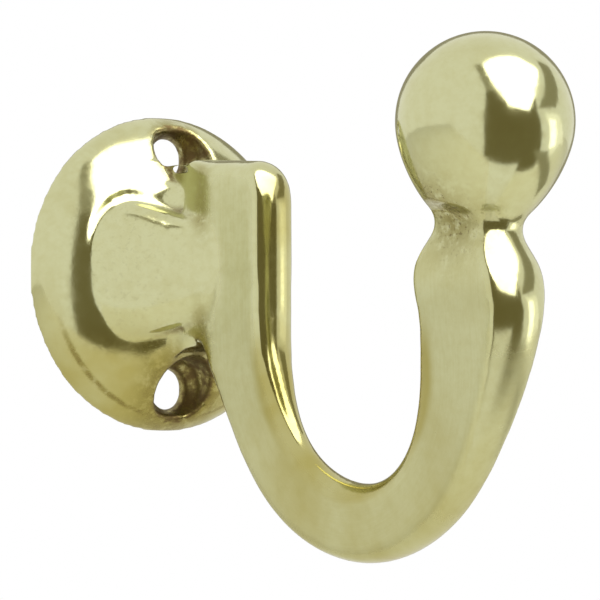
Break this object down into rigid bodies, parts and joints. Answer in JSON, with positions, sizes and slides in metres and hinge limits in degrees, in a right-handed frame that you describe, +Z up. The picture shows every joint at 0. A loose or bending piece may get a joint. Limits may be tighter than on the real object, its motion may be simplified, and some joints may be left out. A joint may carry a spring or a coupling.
{
  "type": "curtain tieback hook",
  "caption": "Small cast brass hook with a domed round rose, a flat-sided U-shaped arm and a ball end, screwed to a wall to hold back a curtain.",
  "frame": {"origin": "centre of the rose's back face, on the wall plane", "axes": "+Y into the wall, the hook stands out towards -Y, +Z up, +X to the right when facing the wall"},
  "size_m": [0.0248, 0.0461, 0.0375],
  "materials": {
    "brass": "polished on the convex faces, satin linished on the flat sides, lightly tarnished"
  },
  "bodies": {
    "root": {"tieback_hook": "brass"}
  },
  "joints": []
}
